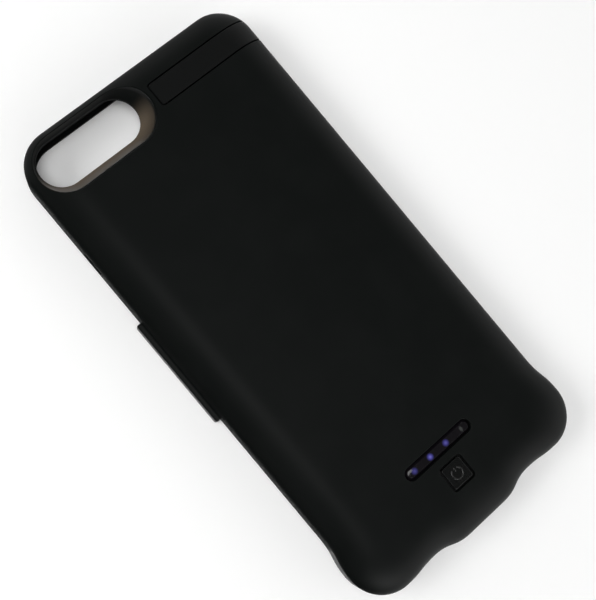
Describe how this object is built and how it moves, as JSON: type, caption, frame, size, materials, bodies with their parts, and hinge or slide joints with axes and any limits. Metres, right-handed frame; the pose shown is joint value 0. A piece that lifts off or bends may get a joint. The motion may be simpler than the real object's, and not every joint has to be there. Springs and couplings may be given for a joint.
{
  "type": "battery charging case",
  "caption": "Moulded battery case for a large phone, with a flared wavy chin, camera window, flush kickstand, charge light window, power button, phone plug and charging inlet.",
  "frame": {"origin": "on the front rest plane, in the middle of the housing's width and length", "axes": "+Z out of the back, +Y to the camera end, +X to the right as seen from the back"},
  "size_m": [0.0853, 0.1696, 0.0166],
  "materials": {
    "soft_touch_black": "soft touch",
    "stand_black": "fine matt",
    "hinge_steel": "bright",
    "window_gloss": "polished",
    "baffle_black": "moulded",
    "button_black": "semi-gloss",
    "switch_black": "moulded",
    "switch_steel": "stamped",
    "board_green": "solder mask",
    "chip_black": "moulded",
    "ferrite_grey": "sintered",
    "ceramic_tan": "fired",
    "screw_steel": "zinc plated",
    "cell_foil": "laminate",
    "foam_white": "foam tape",
    "tab_nickel": "plated",
    "plug_steel": "polished",
    "contact_gold": "plated",
    "inlet_steel": "stamped",
    "light_violet": "clear"
  },
  "bodies": {
    "case": {"rear_cover": "soft_touch_black", "phone_tray": "soft_touch_black", "kickstand_pin": "hinge_steel", "led_window": "window_gloss", "light_baffle": "baffle_black", "plug_base": "baffle_black", "usb_inlet_tongue": "baffle_black", "tact_switch": "switch_steel", "main_board": "board_green", "chin_board": "board_green", "charge_controller": "chip_black", "boost_inductor": "ferrite_grey", "filter_capacitors": "ceramic_tan", "board_screws": "screw_steel", "battery_cell": "cell_foil", "battery_pad": "foam_white", "battery_tab_positive": "tab_nickel", "battery_tab_negative": "tab_nickel", "phone_plug": "plug_steel", "plug_contacts": "contact_gold", "usb_inlet_shell": "inlet_steel", "charge_led_1": "light_violet", "charge_led_2": "light_violet", "charge_led_3": "light_violet", "charge_led_4": "light_violet"},
    "kickstand": {"kickstand_leaf": "stand_black"},
    "button": {"power_button": "button_black", "switch_plunger": "switch_black"}
  },
  "joints": [
    {"name": "stand_fold", "type": "hinge", "parent": "case", "child": "kickstand", "pos_m": [0.00457, 0.07218, 0.0152], "axis": [0, -1, 0], "range_deg": [0, 65]},
    {"name": "button_press", "type": "slide", "parent": "case", "child": "button", "axis": [0, 0, -1], "range_m": [0, 0.0004], "stiffness_N_per_m": 2000}
  ]
}
